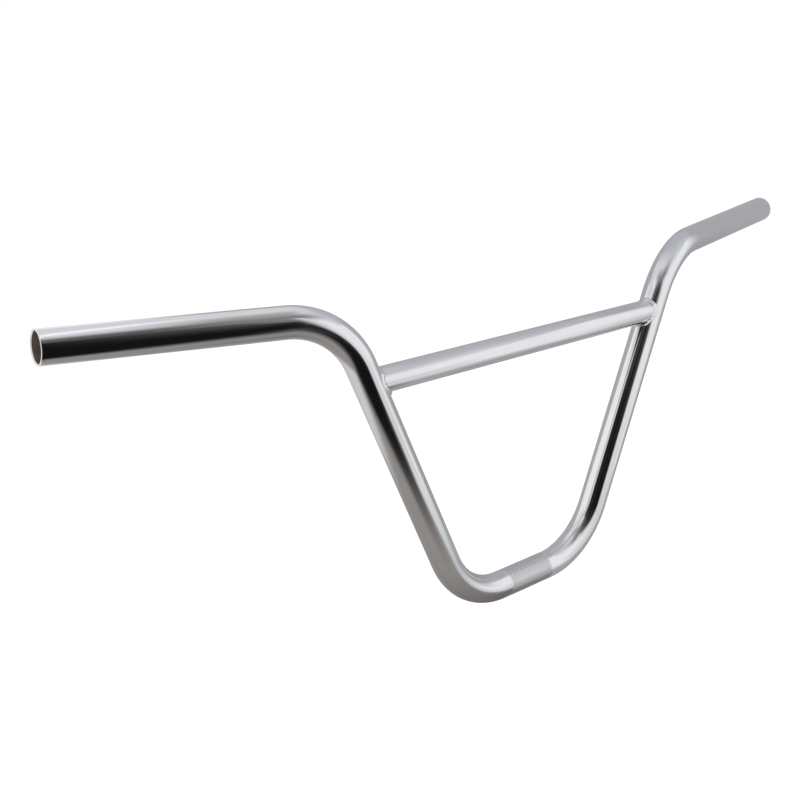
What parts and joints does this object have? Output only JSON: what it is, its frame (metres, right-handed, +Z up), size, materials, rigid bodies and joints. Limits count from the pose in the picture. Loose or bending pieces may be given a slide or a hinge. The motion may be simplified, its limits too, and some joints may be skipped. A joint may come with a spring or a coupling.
{
  "type": "bmx handlebar",
  "caption": "Chromed BMX handlebar bent from steel tube, with a welded crossbar, a knurled stem clamp zone and open grip ends.",
  "frame": {"origin": "middle of the clamp straight, on the tube's axis", "axes": "+X along the clamp straight to the rider's left, +Y back to the rider, +Z up in the plane of the two legs"},
  "size_m": [0.766, 0.0576, 0.2734],
  "materials": {
    "bar_chrome": "polished",
    "crossbar_chrome": "polished",
    "weld_chrome": "polished"
  },
  "bodies": {
    "root": {"bar_tube": "bar_chrome", "crossbar": "crossbar_chrome", "left_weld": "weld_chrome", "right_weld": "weld_chrome"}
  },
  "joints": []
}
